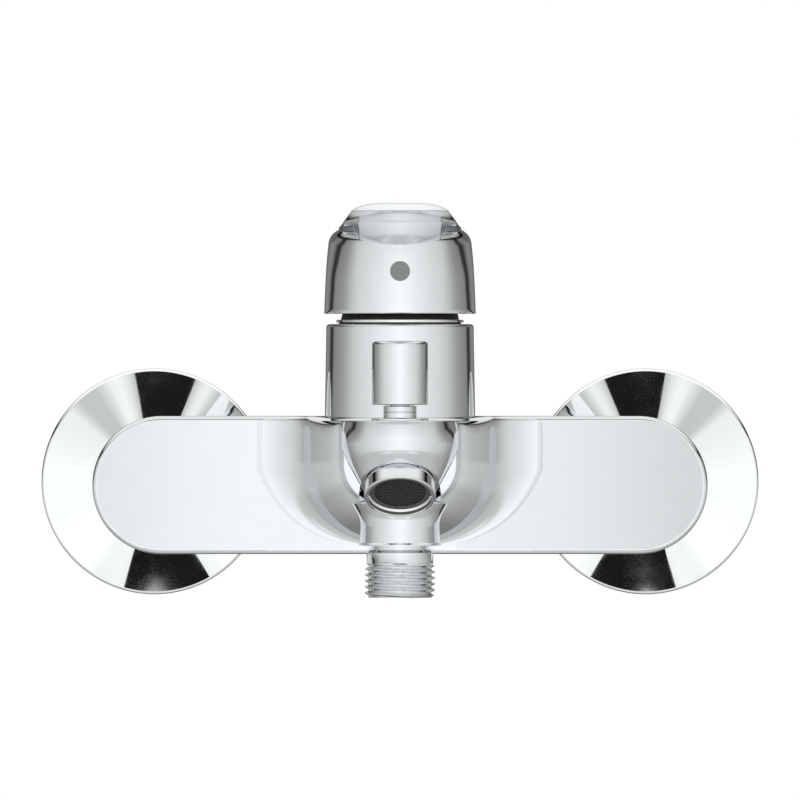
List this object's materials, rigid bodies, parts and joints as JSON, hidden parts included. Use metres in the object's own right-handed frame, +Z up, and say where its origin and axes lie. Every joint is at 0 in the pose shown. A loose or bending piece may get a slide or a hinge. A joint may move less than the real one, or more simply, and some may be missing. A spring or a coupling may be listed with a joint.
{
  "type": "bath and shower mixer tap",
  "caption": "Wall-mounted single-lever bath mixer: slab body on two flanged unions, cartridge dome with paddle lever, spout with pull-up diverter, threaded shower outlet.",
  "frame": {"origin": "on the wall plane, midway between the two inlet axes", "axes": "+X to the right seen from the front, +Y into the wall, +Z up; the spout and lever point to -Y"},
  "size_m": [0.219, 0.1654, 0.1174],
  "materials": {
    "chrome": "bright mirror plating",
    "brass": "machined",
    "grey_plastic": "satin grey",
    "black_plastic": "satin black",
    "grey_insert": "satin dark grey",
    "cartridge_plastic": "moulded",
    "ceramic": "lapped",
    "rubber": "matt",
    "steel": "drawn stainless"
  },
  "bodies": {
    "tap_body": {"mixer_body": "chrome", "wall_connector_hot": "brass", "wall_flange_hot": "chrome", "union_nut_hot": "chrome", "union_washer_hot": "rubber", "inlet_nipple_hot": "brass", "wall_connector_cold": "brass", "wall_flange_cold": "chrome", "union_nut_cold": "chrome", "union_washer_cold": "rubber", "inlet_nipple_cold": "brass", "cartridge_base": "cartridge_plastic", "base_seals": "rubber", "fixed_disc": "ceramic", "cartridge_housing": "cartridge_plastic", "cartridge_nut": "brass", "cap_ring": "chrome", "cartridge_hood": "black_plastic", "diverter_bush": "chrome", "stem_o_ring": "rubber", "diverter_seat": "brass", "diverter_spring": "steel", "shower_nipple": "chrome", "nipple_o_ring": "rubber", "check_valve_body": "cartridge_plastic", "check_valve_spring": "steel", "aerator_housing": "chrome", "aerator_insert": "grey_insert", "aerator_screen": "black_plastic", "aerator_seal": "rubber"},
    "swivel": {"turret": "cartridge_plastic", "pivot_pin": "steel"},
    "handle": {"lever": "chrome", "lever_screw": "steel", "indicator_plug": "grey_plastic", "spindle": "brass"},
    "discs": {"moving_disc": "ceramic", "disc_carrier": "cartridge_plastic"},
    "diverter": {"diverter_knob": "chrome", "diverter_stem": "brass", "diverter_disc": "brass", "diverter_seal_lower": "rubber", "diverter_seal_upper": "rubber"},
    "check_valve": {"check_valve_poppet": "cartridge_plastic"}
  },
  "joints": [
    {"name": "lever_swivel", "type": "hinge", "parent": "tap_body", "child": "swivel", "pos_m": [0, -0.065, 0.046], "axis": [0, 0, 1], "range_deg": [-50, 50]},
    {"name": "lever_lift", "type": "hinge", "parent": "swivel", "child": "handle", "pos_m": [0, -0.065, 0.046], "axis": [-1, 0, 0], "range_deg": [0, 22]},
    {"name": "disc_slide", "type": "slide", "parent": "swivel", "child": "discs", "axis": [0, -1, 0], "range_m": [0, 0.0049]},
    {"name": "diverter_pull", "type": "slide", "parent": "tap_body", "child": "diverter", "axis": [0, 0, 1], "range_m": [0, 0.009], "stiffness_N_per_m": 150, "springref_m": -0.012, "deforming": ["diverter_spring"]},
    {"name": "check_valve_lift", "type": "slide", "parent": "tap_body", "child": "check_valve", "axis": [0, 0, -1], "range_m": [0, 0.003], "stiffness_N_per_m": 60, "springref_m": -0.003, "deforming": ["check_valve_spring"]}
  ],
  "couplings": [
    {"joint": "disc_slide", "follows": "lever_lift", "m_per_rad": 0.01275}
  ]
}
